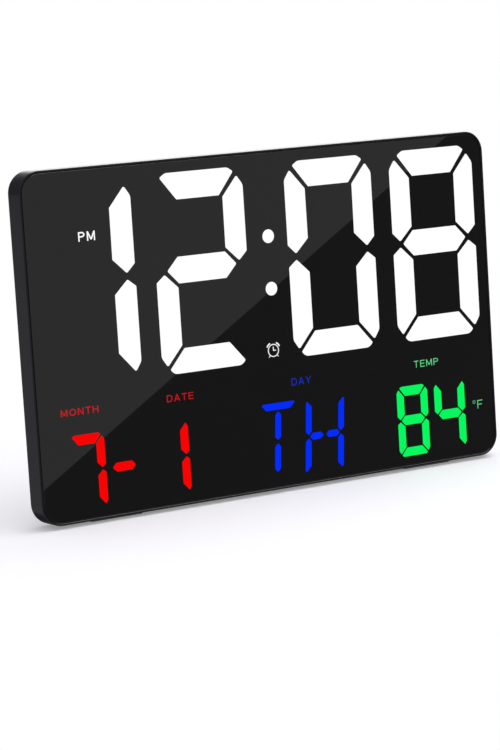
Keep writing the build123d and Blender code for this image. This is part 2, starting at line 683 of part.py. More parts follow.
def make_temperature_probe():
    x, z = housing_place(PROBE_PLACE_SHARES)
    bead_back = BOARD_BACK + PROBE_LEG_LENGTH
    probe = Pos(x, bead_back, z) * Sphere(PROBE_RADIUS)
    for side in (-1, 1):
        probe += rod(PROBE_LEG_RADIUS, x + side * PROBE_LEG_SPACING / 2, z, BOARD_BACK, bead_back)
    return probe


def make_filter_capacitor():
    x = JACK_MOUTH - JACK_LENGTH - CAPACITOR_GAP - CAPACITOR_RADIUS
    can = rod(CAPACITOR_RADIUS, x, JACK_Z, BOARD_BACK, BOARD_BACK + CAPACITOR_HEIGHT)
    return fillet(can.faces().sort_by(Axis.Y)[-1].edges(), CAPACITOR_CAP_ROUND)


def make_power_inlet():
    """A barrel socket that stands on the display board, its nose in the housing's side wall."""
    half = JACK_WIDTH / 2
    body = block(JACK_MOUTH - JACK_LENGTH, JACK_MOUTH, BOARD_BACK, JACK_BACK, JACK_Z - half, JACK_Z + half)
    centre = Pos(JACK_AXIS, JACK_Z)
    body += crossbar(centre * Circle(JACK_NOSE_RADIUS), JACK_MOUTH, JACK_NOSE_END)
    bore = crossbar(centre * Circle(JACK_BORE_RADIUS), JACK_NOSE_END - JACK_BORE_DEPTH, JACK_NOSE_END + OVERRUN)
    return body - bore


def make_inlet_pin():
    centre = Pos(JACK_AXIS, JACK_Z)
    pin_end = JACK_NOSE_END - JACK_PIN_SINK
    pin = crossbar(centre * Circle(JACK_PIN_RADIUS), JACK_NOSE_END - JACK_BORE_DEPTH, pin_end)
    return fillet(pin.faces().sort_by(Axis.X)[-1].edges(), JACK_PIN_ROUND)


# Rear cover
def stand_channel(grow):
    """The recess that the folded stand lies in, grown by a wall."""
    half = CHANNEL_HALF + grow
    low = HOUSING_LOW - OVERRUN if grow == 0 else HOUSING_LOW
    back = HOUSING_BACK + OVERRUN if grow == 0 else HOUSING_INSIDE
    return block(-half, half, CHANNEL_FLOOR - grow, back, low, CHANNEL_TOP + grow)


def pivot_blocks():
    inner, outer = CHANNEL_HALF, CHANNEL_HALF + PIVOT_BLOCK
    low, high = STAND_HINGE_HEIGHT - PIVOT_BLOCK / 2, STAND_HINGE_HEIGHT + PIVOT_BLOCK / 2
    front = CHANNEL_FLOOR - HOUSING_WALL
    right = block(inner, outer, front, HOUSING_INSIDE, low, high)
    left = block(-outer, -inner, front, HOUSING_INSIDE, low, high)
    return [left, right]


def door_recess(grow, front, back):
    half = DOOR_WIDTH / 2 + DOOR_GAP + grow
    low, high = DOOR_LOW - DOOR_GAP - grow, DOOR_HIGH + DOOR_GAP + grow
    return block(POCKET_X - half, POCKET_X + half, front, back, low, high)


def keyhole(x, z):
    rise = HANGER_SLOT_RISE
    slot = Pos(x, z + rise / 2) * Rectangle(HANGER_SLOT_WIDTH, rise)
    end = Pos(x, z + rise) * Circle(HANGER_SLOT_WIDTH / 2)
    return Pos(x, z) * Circle(HANGER_ENTRY_RADIUS) + slot + end


def rear_wall_openings():
    """Keyholes, vents, sound holes and button holes of the housing's rear wall."""
    openings = []
    for side in (-1, 1):
        openings.append(keyhole(side * (HOUSING_HALF - HANGER_SIDE_INSET), HOUSING_HIGH - HANGER_TOP_INSET))
        vent_x, vent_z = housing_place(VENT_PLACE_SHARES)
        for index in range(VENT_COUNT):
            z = vent_z + (index - (VENT_COUNT - 1) / 2) * VENT_PITCH
            openings.append(Pos(side * vent_x, z) * SlotOverall(VENT_LENGTH, VENT_WIDTH))
    x, z = housing_place(BUZZER_PLACE_SHARES)
    openings.append(Pos(x, z) * Circle(SOUND_HOLE_RADIUS))
    for index in range(SOUND_HOLE_COUNT):
        turn = 2 * math.pi * index / SOUND_HOLE_COUNT
        across, up = SOUND_RING_RADIUS * math.cos(turn), SOUND_RING_RADIUS * math.sin(turn)
        openings.append(Pos(x + across, z + up) * Circle(SOUND_HOLE_RADIUS))
    openings += [Pos(place, BUTTON_ROW) * Circle(BUTTON_RADIUS + BUTTON_GAP) for place in BUTTON_PLACES]
    return [slab(outline, HOUSING_INSIDE - OVERRUN, HOUSING_BACK + OVERRUN) for outline in openings]


def pocket_cuts():
    """Everything cut away for the backup cell, its contacts and its door."""
    cuts = [door_recess(0, DOOR_FRONT - DOOR_GAP, HOUSING_BACK + OVERRUN)]
    pocket = Pos(POCKET_X, POCKET_Z) * Rectangle(POCKET_SIDE, POCKET_SIDE)
    cuts.append(slab(pocket, POCKET_FLOOR, DOOR_FRONT))
    floor_front = POCKET_FLOOR - HOUSING_WALL - OVERRUN
    cuts.append(slab(negative_leg_outline(CONTACT_SLOT_GAP), floor_front, POCKET_FLOOR))
    cuts.append(slab(positive_strip_outline(CONTACT_SLOT_GAP), floor_front, POCKET_FLOOR))
    pin = Pos(DOOR_AXIS, DOOR_HINGE_Z) * Circle(DOOR_PIN_RADIUS + DOOR_PIN_PLAY)
    reach = DOOR_WIDTH / 2 + DOOR_PIN_LENGTH + DOOR_PIN_ROOM
    cuts.append(crossbar(pin, POCKET_X - reach, POCKET_X + reach))
    screw_front = DOOR_FRONT - DOOR_SCREW_LENGTH
    cuts.append(rod(SCREW_RADIUS + DOOR_SCREW_ROOM, POCKET_X, DOOR_SCREW_Z, screw_front, DOOR_FRONT))
    return cuts


def make_rear_cover():
    cover = slab(housing_outline(0), COVER_FRONT, HOUSING_BACK)
    cover = fillet(cover.faces().sort_by(Axis.Y)[-1].edges(), HOUSING_EDGE_ROUND)
    cover += slab(inner_outline(COVER_GAP), COVER_FRONT, FRAME_DEPTH)
    cavity = slab(housing_outline(HOUSING_WALL), COVER_FRONT - OVERRUN, HOUSING_INSIDE)
    kept = [stand_channel(HOUSING_WALL), *pivot_blocks()]
    kept.append(door_recess(HOUSING_WALL, POCKET_FLOOR - HOUSING_WALL, HOUSING_INSIDE))
    kept += [rod(BUTTON_POST_RADIUS, x, BUTTON_ROW, BUTTON_BOARD_BACK, HOUSING_INSIDE) for x in BUTTON_POSTS]
    cover -= cavity - kept
    cuts = [stand_channel(0), *pocket_cuts(), *rear_wall_openings()]
    pivot = Pos(STAND_AXIS, STAND_HINGE_HEIGHT) * Circle(PIVOT_RADIUS)
    cuts.append(crossbar(pivot, -CHANNEL_HALF - PIVOT_SEAT, CHANNEL_HALF + PIVOT_SEAT))
    inlet = Pos(JACK_AXIS, JACK_Z) * Circle(JACK_NOSE_RADIUS + JACK_NOSE_GAP)
    cuts.append(crossbar(inlet, JACK_MOUTH, HOUSING_HALF + OVERRUN))
    post_depth = BUTTON_BOARD_FRONT + SHORT_SCREW_LENGTH
    cuts += [rod(SCREW_RADIUS, x, BUTTON_ROW, BUTTON_BOARD_BACK, post_depth) for x in BUTTON_POSTS]
    for x, z in CASE_BOSSES:
        cuts.append(rod(SCREW_RADIUS + SCREW_PLAY, x, z, COVER_FRONT - OVERRUN, FRAME_DEPTH))
        sink = rod(SCREW_HEAD_RADIUS + SCREW_SINK_PLAY, x, z, FRAME_DEPTH - SCREW_HEAD_THICK, FRAME_DEPTH + OVERRUN)
        cuts.append(sink)
    return cover - cuts


# Stand and feet
def make_stand_pieces():
    """The leg and its rubber tip, drawn folded about the hinge and then opened."""
    half = STAND_WIDTH / 2
    thick = STAND_THICK / 2
    leg_end = -STAND_LENGTH + STAND_TIP_COVER
    plate = Pos(0, (STAND_HEEL + leg_end) / 2) * Rectangle(STAND_THICK, STAND_HEEL - leg_end)
    leg = crossbar(plate + Circle(STAND_BARREL_RADIUS), -half, half)
    bay = (STAND_WIDTH - 2 * STAND_BORDER - STAND_RIB) / 2
    bay_low = leg_end + STAND_TIP_SLEEVE + STAND_BORDER
    bay_high = -STAND_BARREL_RADIUS - STAND_BORDER
    for side in (-1, 1):
        near = side * STAND_RIB / 2
        far = near + side * bay
        pocket_front = thick - STAND_POCKET_DEPTH
        leg -= block(min(near, far), max(near, far), pocket_front, thick + OVERRUN, bay_low, bay_high)
        grip = half - PIVOT_GRIP - OVERRUN
        bore = Circle(PIVOT_RADIUS + PIVOT_PLAY)
        leg -= crossbar(bore, min(side * grip, side * half), max(side * grip, side * half))
    sleeve_low = -STAND_LENGTH
    sleeve_high = leg_end + STAND_TIP_SLEEVE
    sleeve = Pos(0, (sleeve_low + sleeve_high) / 2) * Rectangle(2 * STAND_TIP_RADIUS, sleeve_high - sleeve_low)
    sleeve += Pos(0, sleeve_low) * Circle(STAND_TIP_RADIUS)
    tip = crossbar(sleeve - plate, -half, half)
    opened = Pos(0, STAND_AXIS, STAND_HINGE_HEIGHT) * Rot(STAND_OPEN_ANGLE, 0, 0)
    return opened * leg, opened * tip


def make_stand_pins():
    inner, outer = STAND_WIDTH / 2 - PIVOT_GRIP, CHANNEL_HALF + PIVOT_SEAT
    profile = Pos(STAND_AXIS, STAND_HINGE_HEIGHT) * Circle(PIVOT_RADIUS)
    return [crossbar(profile, -outer, -inner), crossbar(profile, inner, outer)]


def make_rubber_feet():
    """Two wedge feet whose soles lie flat on the floor when the clock leans back."""
    toe_drop = FOOT_THICK + FOOT_WIDTH * math.tan(LEAN)
    profile = Polygon((FOOT_SETBACK, 0), (FOOT_HEEL, 0), (FOOT_HEEL, -FOOT_THICK), (FOOT_SETBACK, -toe_drop))
    half = FOOT_LENGTH / 2
    places = [side * (WIDTH / 2 - FOOT_SIDE_INSET) for side in (-1, 1)]
    return [crossbar(profile, x - half, x + half) for x in places]


# Buttons
def make_button(x):
    cap = rod(BUTTON_RADIUS, x, BUTTON_ROW, BUTTON_FLANGE_FRONT, HOUSING_BACK - BUTTON_SINK)
    cap = fillet(cap.faces().sort_by(Axis.Y)[-1].edges(), BUTTON_EDGE_ROUND)
    cap += rod(BUTTON_FLANGE_RADIUS, x, BUTTON_ROW, BUTTON_FLANGE_FRONT, BUTTON_FLANGE_BACK)
    return cap + rod(BUTTON_STEM_RADIUS, x, BUTTON_ROW, BUTTON_STEM_FRONT, BUTTON_FLANGE_FRONT)


def make_switches():
    switches = []
    for x in BUTTON_PLACES:
        body = slab(Pos(x, BUTTON_ROW) * Rectangle(SWITCH_SIDE, SWITCH_SIDE), BUTTON_BOARD_BACK, SWITCH_BACK)
        bore_end = SWITCH_BACK - SWITCH_BORE_DEPTH
        switches.append(body - rod(SWITCH_BORE_RADIUS, x, BUTTON_ROW, bore_end, SWITCH_BACK + OVERRUN))
    return switches


def make_button_board():
    outline = Pos(0, BUTTON_ROW) * Rectangle(2 * BUTTON_BOARD_HALF, BUTTON_BOARD_HEIGHT)
    for x in BUTTON_POSTS:
        outline -= Pos(x, BUTTON_ROW) * Circle(SCREW_RADIUS + SCREW_PLAY)
    return slab(outline, BUTTON_BOARD_FRONT, BUTTON_BOARD_BACK)


def make_board_header():
    outline = Pos(0, BUTTON_ROW) * Rectangle(HEADER_LENGTH, HEADER_WIDTH)
    return slab(outline, BOARD_BACK, BUTTON_BOARD_FRONT)


# Backup cell
def negative_leg_outline(grow):
    side = CONTACT_THICK + 2 * grow
    return Pos(POCKET_X, POCKET_Z) * Rectangle(CONTACT_LEG_WIDTH + 2 * grow, side)


def positive_strip_outline(grow):
    x = POCKET_X + CELL_DIAMETER / 2 + CONTACT_THICK / 2
    return Pos(x, POCKET_Z) * Rectangle(CONTACT_THICK + 2 * grow, CONTACT_WIDTH + 2 * grow)


def make_coin_cell():
    rim = rod(CELL_DIAMETER / 2, POCKET_X, POCKET_Z, CELL_FRONT + CELL_RIM_STEP, CELL_BACK)
    cap_radius = CELL_DIAMETER / 2 - CELL_SIDE_ROOM
    return rim + rod(cap_radius, POCKET_X, POCKET_Z, CELL_FRONT, CELL_FRONT + CELL_RIM_STEP)


def make_cell_contacts():
    pad = Pos(POCKET_X, POCKET_Z) * Rectangle(CONTACT_WIDTH, CONTACT_LENGTH)
    negative = slab(pad, POCKET_FLOOR, CELL_FRONT) + slab(negative_leg_outline(0), BOARD_BACK, POCKET_FLOOR)
    positive = slab(positive_strip_outline(0), BOARD_BACK, CELL_BACK)
    return [negative, positive]


def make_battery_door():
    half = DOOR_WIDTH / 2
    high = DOOR_HIGH - DOOR_HINGE_Z
    profile = Pos(DOOR_AXIS, DOOR_HINGE_Z + high / 2) * Rectangle(DOOR_THICK, high)
    profile += Pos(DOOR_AXIS, DOOR_HINGE_Z) * Circle(DOOR_THICK / 2)
    door = crossbar(profile, POCKET_X - half, POCKET_X + half)
    pin = Pos(DOOR_AXIS, DOOR_HINGE_Z) * Circle(DOOR_PIN_RADIUS)
    door += crossbar(pin, POCKET_X - half - DOOR_PIN_LENGTH, POCKET_X + half + DOOR_PIN_LENGTH)
    seat = HOUSING_BACK - SCREW_HEAD_THICK
    door -= rod(SCREW_RADIUS, POCKET_X, DOOR_SCREW_Z, DOOR_FRONT - OVERRUN, seat)
    door -= rod(SCREW_HEAD_RADIUS + SCREW_SINK_PLAY, POCKET_X, DOOR_SCREW_Z, seat, HOUSING_BACK + OVERRUN)
    for index in range(DOOR_GRIP_COUNT):
        z = POCKET_Z + (index - (DOOR_GRIP_COUNT - 1) / 2) * DOOR_GRIP_PITCH
        groove = Pos(POCKET_X, z) * SlotOverall(DOOR_GRIP_LENGTH, DOOR_GRIP_WIDTH)
        door -= slab(groove, HOUSING_BACK - DOOR_GRIP_DEPTH, HOUSING_BACK + OVERRUN)
    return door


# The whole clock
def make_pieces():
    windows = display_windows()
    leg, tip = make_stand_pieces()
    case_seat = FRAME_DEPTH - SCREW_HEAD_THICK
    door_screw_length = DOOR_THICK - SCREW_HEAD_THICK + DOOR_SCREW_LENGTH - DOOR_SCREW_ROOM
    pieces = {
        "front_frame": make_front_frame(),
        "front_panel": make_front_panel(windows),
        **make_lenses(windows),
        "diffuser_film": make_diffuser_film(),
        "reflector": make_reflector(windows),
        "display_board": make_display_board(),
        **make_leds(windows),
        "infrared_receiver": make_infrared_receiver(),
        "microcontroller": make_microcontroller(),
        "driver_chips": make_driver_chips(),
        "clock_crystal": make_crystal(),
        "buzzer": make_buzzer(),
        "temperature_probe": make_temperature_probe(),
        "filter_capacitor": make_filter_capacitor(),
        "power_inlet": make_power_inlet(),
        "inlet_pin": make_inlet_pin(),
        "rear_cover": make_rear_cover(),
        "stand_leg": leg,
        "stand_tip": tip,
        "stand_pins": make_stand_pins(),
        "rubber_feet": make_rubber_feet(),
        "button_switches": make_switches(),
        "button_board": make_button_board(),
        "board_header": make_board_header(),
        "coin_cell": make_coin_cell(),
        "cell_contacts": make_cell_contacts(),
        "battery_door": make_battery_door(),
        "battery_door_screw": screw(POCKET_X, DOOR_SCREW_Z, HOUSING_BACK - SCREW_HEAD_THICK, door_screw_length),
        "case_screws": [screw(x, z, case_seat, SCREW_LENGTH) for x, z in CASE_BOSSES],
        "display_board_screws": [screw(x, z, BOARD_BACK, SHORT_SCREW_LENGTH) for x, z in BOARD_POSTS],
        "button_board_screws": [
            screw(x, BUTTON_ROW, BUTTON_BOARD_FRONT, SHORT_SCREW_LENGTH, way=1) for x in BUTTON_POSTS
        ],
    }
    for name, x in zip(BUTTON_NAMES, BUTTON_PLACES):
        pieces[name] = make_button(x)
    return pieces


def lean_back(shape):
    """Leans a piece back about the line where the feet's heels meet the floor."""
    heel = Pos(0, -FOOT_HEEL, FOOT_THICK)
    return Rot(-LEAN_ANGLE, 0, 0) * heel * shape


def as_one(piece):
    solids = piece if isinstance(piece, list) else [piece]
    return Compound([solid for shape in solids for solid in shape.solids()])


leaning = {name: lean_back(as_one(piece)) for name, piece in make_pieces().items()}
REACH = Compound(list(leaning.values())).bounding_box()
CENTRE_SHIFT = -(REACH.min.Y + REACH.max.Y) / 2

os.makedirs("parts", exist_ok=True)
for name, piece in leaning.items():
    export_step(Pos(0, CENTRE_SHIFT, 0) * piece, f"parts/{name}.step")
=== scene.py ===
import math
from collections import namedtuple

import bmesh
import bpy
from mathutils import Matrix, Vector


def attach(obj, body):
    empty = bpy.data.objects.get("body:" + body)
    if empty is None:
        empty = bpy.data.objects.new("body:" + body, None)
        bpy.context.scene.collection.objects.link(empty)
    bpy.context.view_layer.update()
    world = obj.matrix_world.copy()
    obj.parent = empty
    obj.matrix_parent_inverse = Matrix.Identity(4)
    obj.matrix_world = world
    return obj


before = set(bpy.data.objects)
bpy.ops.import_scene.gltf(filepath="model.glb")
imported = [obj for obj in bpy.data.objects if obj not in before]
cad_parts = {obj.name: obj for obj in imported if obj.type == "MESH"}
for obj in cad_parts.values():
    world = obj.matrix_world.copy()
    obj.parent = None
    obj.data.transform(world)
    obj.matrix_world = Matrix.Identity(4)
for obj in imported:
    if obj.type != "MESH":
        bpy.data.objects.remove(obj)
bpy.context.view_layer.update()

MM = 0.001
FULL_TURN = 360.0
QUARTER_TURN = 90.0
WHITE = (1.0, 1.0, 1.0)

# The upright clock in mm: x to the right, y back from the rim, z up from the bottom edge
FACE_WIDTH = 380.0
FACE_HEIGHT = 237.5
PANEL_FACE = 0.3
REAR_FACE = 30.0
BUTTON_ROW = 169.5
BUTTON_PITCH = 20.0

# How the clock stands: leaned back about its bottom front edge, which lies here in metres
LEAN = math.radians(6.7)
CLOCK_ORIGIN = (0.0, -0.0270982, 0.0026266)
CLOCK = Matrix.Translation(CLOCK_ORIGIN) @ Matrix.Rotation(-LEAN, 4, "X")

# A print's height over its surface and its depth in it, in mm
PRINT_RAISE = 0.06
PRINT_SINK = 0.02

# Boxes of the front legends on the upright clock, in mm: left, right, low, high
PM_BOX = (-148.3, -135.5, 188.0, 194.4)
MONTH_BOX = (-171.0, -142.2, 72.8, 77.5)
DATE_BOX = (-88.6, -67.4, 72.6, 77.3)
DAY_BOX = (13.1, 29.5, 71.5, 76.7)
TEMP_BOX = (118.8, 140.3, 71.6, 76.5)
DEGREE_BOX = (169.5, 178.3, 35.0, 41.4)

# Strokes of the front legends, in shares of the letters' height
LEGEND_STROKE_SHARE = 0.118
MONTH_STROKE_SHARE = 0.148
DEGREE_STROKE_SHARE = 0.101
PM_STROKE_SHARE = 0.150

# Front legends: words, box, stroke, material, slot
FRONT_LEGENDS = {
    "pm_legend": ("PM", PM_BOX, PM_STROKE_SHARE, "white", "white_light"),
    "month_legend": ("MONTH", MONTH_BOX, MONTH_STROKE_SHARE, "red_legend", "red_light"),
    "date_legend": ("DATE", DATE_BOX, LEGEND_STROKE_SHARE, "red_legend", "red_light"),
    "day_legend": ("DAY", DAY_BOX, LEGEND_STROKE_SHARE, "blue_legend", "blue_light"),
    "temperature_legend": ("TEMP", TEMP_BOX, LEGEND_STROKE_SHARE, "green_legend", "green_light"),
    "degree_legend": ("°F", DEGREE_BOX, DEGREE_STROKE_SHARE, "green_legend", "green_light"),
}

# Widths of the letters and the space between them, in shares of the letters' height
LETTER_WIDTH_SHARES = {
    "M": 0.98, "O": 0.98, "N": 0.84, "T": 0.80, "H": 0.84, "D": 0.86,
    "A": 0.90, "E": 0.76, "Y": 0.86, "P": 0.78, "F": 0.72, "°": 0.39,
}
LETTER_SPACE_SHARE = 0.27

# Widths of slanting strokes and of the degree ring, in shares of the stroke
SLANT_STROKE_SHARE = 1.12
RING_STROKE_SHARE = 0.46

# Where strokes lie in the letters, in shares of the letter's width or height
MIDDLE_SHARE = 0.5
BOWL_SHARE = 0.5
M_DIP_SHARE = 0.12
E_BAR_SHARES = (0.92, 0.51)
F_BAR_SHARES = (0.90, 0.50)
A_BAR_SIDE_SHARES = (0.2, 0.8)
A_BAR_HEIGHT_SHARE = 0.30
Y_FORK_SHARE = 0.42
Y_STEM_SHARE = 0.5
P_BOWL_LOW_SHARE = 0.42
DEGREE_HEIGHT_SHARE = 0.835
DEGREE_RADIUS_SHARE = 0.20

# How finely round strokes are drawn
BAND_POINTS = 17
RING_POINTS = 41
SIGN_RING_POINTS = 49
SIGN_BELL_POINTS = 9

# The alarm sign, in mm and degrees: its middle on the upright clock, and its strokes
SIGN_PLACE = (-0.25, 98.1)
SIGN_RADIUS = 4.55
SIGN_STROKE = 0.62
SIGN_HAND_SHARES = (0.58, 0.46)
SIGN_BELL_TURN = 45.0
SIGN_BELL_SPREAD = 19.0
SIGN_BELL_GAP = 0.72
SIGN_BELL_STROKE = 0.90
SIGN_FOOT_TURN = 40.0
SIGN_FOOT_REACH = 1.45

# Rear legends, in mm
BUTTON_WORDS = ("MODE", "SET", "UP", "DOWN", "ALARM")
BUTTON_LEGEND_DROP = 11.0
BUTTON_LEGEND_HEIGHT = 3.0
POWER_WORDS = "DC 5V"
POWER_LEGEND_PLACE = (141.0, 44.0)
POWER_LEGEND_HEIGHT = 3.4

# The rear letters' spacing in shares of the font's own, and their depth before they are fitted
REAR_SPACING_SHARE = 1.05
LETTER_BLANK_DEPTH = 0.5

# Floor, in metres: half its width, its colour, its own brightness, where it starts and ends turning white
FLOOR_HALF = 4.0
FLOOR_COLOR = (0.897, 0.891, 0.942)
FLOOR_LIFT = 0.25
FLOOR_FADE = (0.22, 0.50)

# Cards in front that the panel mirrors, in metres
CARD_DISTANCE = 0.9
CARD_REACH = 2.2
LIGHT_CARD_LEVEL = 0.552
DARK_CARD_LEVEL = 0.134

# Spots of the face in shares of its size: ends of the edge between the cards, middle, one on the pale side
CARD_EDGE_SHARES = ((0.0075, 0.110), (0.9188, 0.992))
FACE_MIDDLE_SHARES = (0.5, 0.5)
PALE_SIDE_SHARES = (0.1, 0.95)

# Cards behind the set that the frame's walls and edges mirror, in metres: left, right, low, high, level
BACK_CARD_DISTANCE = 1.5
BACK_CARDS = {
    "rim_card": (0.0, 3.2, -0.03, 0.6, 1.9),
    "wall_card": (-3.2, -0.62, -2.4, -0.03, 0.40),
    "corner_card": (-3.2, 0.0, -0.03, 1.6, 0.18),
    "shoulder_card": (0.0, 0.7, 0.6, 1.6, 0.30),
    "edge_card": (-0.62, 1.6, -2.4, -0.03, 0.05),
}

# Level cards for the light lines along the edges, in metres: left, right, front, back, height, level
LEVEL_CARDS = {
    "strip_card": (0.0, 2.2, -1.1, 0.9, 1.6, 13.0),
    "table_card": (-1.5, 2.5, -2.0, -0.06, -0.1, 0.6),
}

# Softbox overhead and light from all around, in metres and watts
SOFTBOX_PLACE = (0.5, 0.0, 1.7)
SOFTBOX_AIM = (0.0, 0.0, 0.05)
SOFTBOX_SIZE = 1.7
SOFTBOX_POWER = 14.5
WORLD_LIGHT = 0.55
WORLD_SEEN = 1.0

# Camera at the photograph's viewing angle, in metres, degrees and mm of lens
CAMERA_PLACE = (-1.03117, -1.59317, 0.51022)
CAMERA_AZIMUTH = math.radians(-32.6636)
CAMERA_ELEVATION = math.radians(12.7882)
CAMERA_LENS = 132.88
CAMERA_SENSOR = 36.0
CAMERA_CLIP_END = 50.0

# Noise in the finishes: how fine it is, and the span of it that a change of tone or of gloss runs over
NOISE_DETAIL = 3.0
NOISE_ROUGHNESS = 0.55
SOFT_NOISE_DETAIL = 2.0
TONE_SPAN = (0.35, 0.65)
GLOSS_SPAN = (0.3, 0.7)

# Moulded plastic: slow changes of tone, and a grain that changes its gloss
PLASTIC_TONE_SCALE = 60.0
PLASTIC_TONE_SHARES = (0.95, 1.06)
PLASTIC_GRAIN_DETAIL = 4.0
PLASTIC_GRAIN_ROUGHNESS = 0.6
PLASTIC_GLOSS_CHANGE = 0.06
PLASTIC_BUMP = 0.25
PLASTIC_SPECULAR = 0.5

# Plastics: material, colour, roughness, grains per metre, depth of the grain in mm, specular level
PLASTICS = {
    "frame": ("frame_black_satin", (0.0042, 0.0040, 0.0085), 0.22, 2600.0, 0.02, 0.24),
    "film": ("diffusing_film", (0.85, 0.86, 0.88), 0.7, 1800.0, 0.01, PLASTIC_SPECULAR),
    "reflector": ("reflector_white", (0.86, 0.86, 0.84), 0.6, 1500.0, 0.02, PLASTIC_SPECULAR),
    "led": ("led_package", (0.85, 0.83, 0.72), 0.3, 2500.0, 0.01, PLASTIC_SPECULAR),
    "chip": ("chip_epoxy", (0.022, 0.022, 0.022), 0.55, 3000.0, 0.02, PLASTIC_SPECULAR),
    "receiver": ("receiver_epoxy", (0.03, 0.015, 0.02), 0.2, 2500.0, 0.005, PLASTIC_SPECULAR),
    "probe": ("probe_epoxy", (0.22, 0.08, 0.02), 0.3, 2500.0, 0.01, PLASTIC_SPECULAR),
    "component": ("component_black", (0.018, 0.018, 0.018), 0.5, 2600.0, 0.03, PLASTIC_SPECULAR),
    "rear": ("rear_black_grain", (0.020, 0.020, 0.021), 0.55, 1700.0, 0.09, 0.4),
    "button": ("button_grey_satin", (0.045, 0.045, 0.049), 0.45, 2600.0, 0.02, 0.4),
    "rubber": ("rubber_black", (0.022, 0.022, 0.022), 0.8, 2000.0, 0.04, 0.3),
}

# Polished acrylic of the panel
PANEL_COLOR = (0.0045, 0.0045, 0.0045)
PANEL_TONE_SCALE = 9.0
PANEL_TONE_SHARES = (0.94, 1.06)
PANEL_HAZE_SCALE = 25.0
PANEL_ROUGHNESS = (0.006, 0.014)
ACRYLIC_IOR = 1.49

# Lit lens: its fine milky texture, and its body without the light
LENS_MILK_SCALE = 900.0
LENS_MILK_SHARE = 0.97
LENS_BODY_SHARE = 0.05
LENS_ROUGHNESS = 0.3

# Lit lenses and legends: material, colour, strength
LENSES = {
    "white": ("lens_white", WHITE, 1.0),
    "red": ("lens_red", (0.93, 0.001, 0.001), 1.0),
    "blue": ("lens_blue", (0.001, 0.026, 0.93), 1.0),
    "green": ("lens_green", (0.002, 0.92, 0.112), 1.0),
    "red_legend": ("legend_red", (1.0, 0.015, 0.022), 0.58),
    "blue_legend": ("legend_blue", (0.022, 0.062, 1.0), 0.46),
    "green_legend": ("legend_green", (0.19, 1.0, 0.37), 0.64),
}

# Plated metal with fine scratches, their depth in mm
METAL_TONE_SHARES = (0.88, 1.08)
METAL_GLOSS_CHANGES = (-0.08, 0.1)
METAL_BUMP = 0.1
METAL_SCRATCH_DEPTH = 0.02
METAL_SCRATCH_DETAIL = 5.0
METAL_SCRATCH_ROUGHNESS = 0.7

# Metals: material, colour, roughness, scratches per metre
METALS = {
    "steel": ("steel_plated", (0.60, 0.60, 0.59), 0.32, 900.0),
    "black_steel": ("steel_black", (0.055, 0.055, 0.058), 0.42, 1400.0),
    "can": ("capacitor_can", (0.10, 0.11, 0.16), 0.35, 900.0),
}

# Circuit board: solder mask with copper runs under it
BOARD_MASK = (0.016, 0.10, 0.04)
BOARD_COPPER = (0.05, 0.20, 0.08)
BOARD_DARK_SHARE = 0.85
BOARD_RUN_SCALE = 90.0
BOARD_RUN_GAP = 0.05
BOARD_GLOSS_SCALE = 300.0
BOARD_ROUGHNESS = (0.3, 0.45)

# Printed ink with a slightly uneven coat
INK_COLOR = (0.52, 0.52, 0.52)
INK_COAT_SCALE = 1200.0
INK_COAT_SHARE = 0.92
INK_ROUGHNESS = 0.6

# The finish of every CAD node
NODE_MATERIALS = {
    "front_frame": "frame",
    "front_panel": "panel",
    "unlit_segments": "panel",
    "hour_segments": "white",
    "minute_segments": "white",
    "colon_dots": "white",
    "date_segments": "red",
    "day_segments": "blue",
    "temperature_segments": "green",
    "diffuser_film": "film",
    "reflector": "reflector",
    "display_board": "board",
    "button_board": "board",
    "white_leds": "led",
    "red_leds": "led",
    "blue_leds": "led",
    "green_leds": "led",
    "infrared_receiver": "receiver",
    "microcontroller": "chip",
    "driver_chips": "chip",
    "clock_crystal": "steel",
    "buzzer": "component",
    "temperature_probe": "probe",
    "filter_capacitor": "can",
    "power_inlet": "component",
    "inlet_pin": "steel",
    "rear_cover": "rear",
    "battery_door": "rear",
    "stand_leg": "rear",
    "battery_door_screw": "black_steel",
    "case_screws": "black_steel",
    "display_board_screws": "steel",
    "button_board_screws": "steel",
    "stand_pins": "steel",
    "stand_tip": "rubber",
    "rubber_feet": "rubber",
    "button_switches": "component",
    "board_header": "component",
    "coin_cell": "steel",
    "cell_contacts": "steel",
    "mode_button": "button",
    "set_button": "button",
    "up_button": "button",
    "down_button": "button",
    "alarm_button": "button",
}


def clock_point(x, y, z):
    """A point of the upright clock in mm, in the scene's frame in metres."""
    return CLOCK @ Vector((x * MM, y * MM, z * MM))


# Materials
Shader = namedtuple("Shader", "material nodes links bsdf")


def new_shader(name):
    material = bpy.data.materials.new(name)
    material.use_nodes = True
    tree = material.node_tree
    return Shader(material, tree.nodes, tree.links, tree.nodes["Principled BSDF"])


def object_noise(shader, scale, detail=NOISE_DETAIL, roughness=NOISE_ROUGHNESS):
    place = shader.nodes.new("ShaderNodeTexCoord")
    noise = shader.nodes.new("ShaderNodeTexNoise")
    noise.inputs["Scale"].default_value = scale
    noise.inputs["Detail"].default_value = detail
    noise.inputs["Roughness"].default_value = roughness
    shader.links.new(place.outputs["Object"], noise.inputs["Vector"])
    return noise.outputs["Fac"]


def color_along(shader, source, low, high, socket):
    """Runs a socket's colour from low to high along a noise."""
    ramp = shader.nodes.new("ShaderNodeValToRGB")
    for stop, place, color in zip(ramp.color_ramp.elements, TONE_SPAN, (low, high)):
        stop.position = place
        stop.color = (*color, 1.0)
    shader.links.new(source, ramp.inputs["Fac"])
    shader.links.new(ramp.outputs["Color"], shader.bsdf.inputs[socket])


